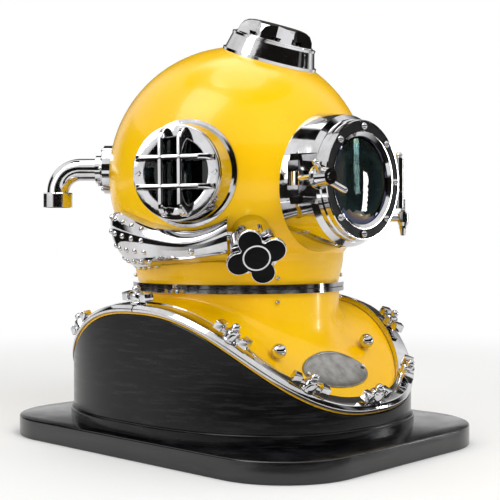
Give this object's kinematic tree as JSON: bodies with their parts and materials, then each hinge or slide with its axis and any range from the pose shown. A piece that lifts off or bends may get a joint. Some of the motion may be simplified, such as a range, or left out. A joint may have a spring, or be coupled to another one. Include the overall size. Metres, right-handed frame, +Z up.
{
  "type": "diving helmet",
  "caption": "Standard-dress diving helmet: yellow spun bonnet with hinged faceplate, guarded ports and exhaust valve, locked to a studded breastplate on a saddle-shaped stand.",
  "frame": {"origin": "middle of the plinth's underside, which is the middle of the bounding box's bottom face to within a few millimetres", "axes": "+Z up, the faceplate looks along -Y, and the diver's right side is -X"},
  "size_m": [0.3688, 0.475, 0.4802],
  "materials": {
    "black_lacquer": "glossy black lacquer over wood",
    "yellow_enamel": "glossy yellow enamel over spun copper",
    "chrome": "polished plating",
    "dull_nickel": "dulled plating",
    "steel": "plain steel",
    "brass": "turned brass",
    "black_enamel": "glossy black enamel",
    "black_rubber": "matt",
    "tan_rubber": "matt tan",
    "brown_leather": "greased",
    "black_plastic": "moulded",
    "clear_glass": "thick plate glass"
  },
  "bodies": {
    "stand": {"plinth_board": "black_lacquer", "stand_pedestal": "black_lacquer", "pedestal_foot_band": "black_lacquer", "wood_screws": "steel"},
    "breastplate": {"breastplate_shell": "yellow_enamel", "breastplate_neck_ring": "chrome", "neck_gasket": "brown_leather", "rim_gasket": "tan_rubber", "front_right_brail": "chrome", "front_left_brail": "chrome", "rear_right_brail": "chrome", "rear_left_brail": "chrome", "rim_studs": "chrome", "wing_nuts": "chrome", "lanyard_studs": "chrome", "neck_screws": "chrome", "name_plate": "dull_nickel", "name_plate_pins": "chrome"},
    "bonnet": {"bonnet_shell": "yellow_enamel", "bonnet_neck_ring": "chrome", "bonnet_screws": "chrome", "faceplate_collar": "chrome", "hinge_pin": "chrome", "swing_bolt_pin": "chrome", "right_port_frame": "chrome", "right_port_glass": "clear_glass", "right_port_guard": "chrome", "left_port_frame": "chrome", "left_port_glass": "clear_glass", "left_port_guard": "chrome", "port_gaskets": "black_rubber", "port_screws": "chrome", "top_port_frame": "chrome", "top_port_glass": "clear_glass", "top_port_guard": "chrome", "exhaust_valve_body": "chrome", "regulating_spring": "steel", "exhaust_channel": "chrome", "channel_beads": "chrome", "air_gooseneck": "chrome", "telephone_gooseneck": "chrome", "gooseneck_screws": "chrome", "air_check_valve": "brass", "spitcock_body": "chrome", "telephone_receiver": "black_plastic", "air_deflector": "brass"},
    "faceplate": {"faceplate_door": "chrome", "faceplate_band": "black_enamel", "faceplate_glass": "clear_glass", "faceplate_gasket": "black_rubber", "faceplate_screws": "chrome"},
    "swing_bolt": {"swing_bolt": "chrome"},
    "clamp_nut": {"clamp_wing_nut": "chrome"},
    "handwheel": {"exhaust_handwheel": "black_enamel", "handwheel_ring": "chrome"},
    "valve_stem": {"exhaust_valve_stem": "brass"},
    "spitcock_lever": {"spitcock_lever": "chrome"},
    "air_nut": {"air_hose_nut": "chrome"},
    "telephone_nut": {"telephone_cable_nut": "chrome"},
    "check_disc": {"check_valve_disc": "brass"}
  },
  "joints": [
    {"name": "helmet_lift", "type": "slide", "parent": "stand", "child": "breastplate", "axis": [0, 0, 1], "range_m": [0, 0.2]},
    {"name": "bonnet_turn", "type": "hinge", "parent": "breastplate", "child": "bonnet", "pos_m": [0, 0, 0.1759], "axis": [0, 0, 1], "range_deg": [0, 45]},
    {"name": "faceplate_hinge", "type": "hinge", "parent": "bonnet", "child": "faceplate", "pos_m": [0.079, -0.171, 0.2909], "axis": [0, 0, 1], "range_deg": [0, 110]},
    {"name": "swing_bolt_swing", "type": "hinge", "parent": "bonnet", "child": "swing_bolt", "pos_m": [-0.069, -0.148, 0.2909], "axis": [0, 0, -1], "range_deg": [-11, 80]},
    {"name": "clamp_nut_turn", "type": "hinge", "parent": "swing_bolt", "child": "clamp_nut", "pos_m": [-0.069, -0.148, 0.2909], "axis": [-0.1908, -0.9816, 0], "continuous": true},
    {"name": "handwheel_turn", "type": "hinge", "parent": "bonnet", "child": "handwheel", "pos_m": [-0.11793, -0.13567, 0.21333], "axis": [-0.5897, -0.6783, -0.4384], "range_deg": [0, 810]},
    {"name": "chin_button_push", "type": "slide", "parent": "bonnet", "child": "valve_stem", "axis": [-0.5897, -0.6783, -0.4384], "range_m": [0, 0.006], "stiffness_N_per_m": 300, "springref_m": -0.003},
    {"name": "spitcock_lever_turn", "type": "hinge", "parent": "bonnet", "child": "spitcock_lever", "pos_m": [0.10348, -0.15935, 0.253], "axis": [0, 0, 1], "range_deg": [0, 90]},
    {"name": "air_nut_turn", "type": "hinge", "parent": "bonnet", "child": "air_nut", "pos_m": [-0.14145, 0.1571, 0.275], "axis": [0, 0, 1], "continuous": true},
    {"name": "telephone_nut_turn", "type": "hinge", "parent": "bonnet", "child": "telephone_nut", "pos_m": [0.14145, 0.1571, 0.275], "axis": [0, 0, 1], "continuous": true},
    {"name": "check_disc_lift", "type": "slide", "parent": "bonnet", "child": "check_disc", "axis": [0.6691, -0.7431, 0], "range_m": [0, 0.003], "stiffness_N_per_m": 30, "springref_m": -0.001}
  ]
}
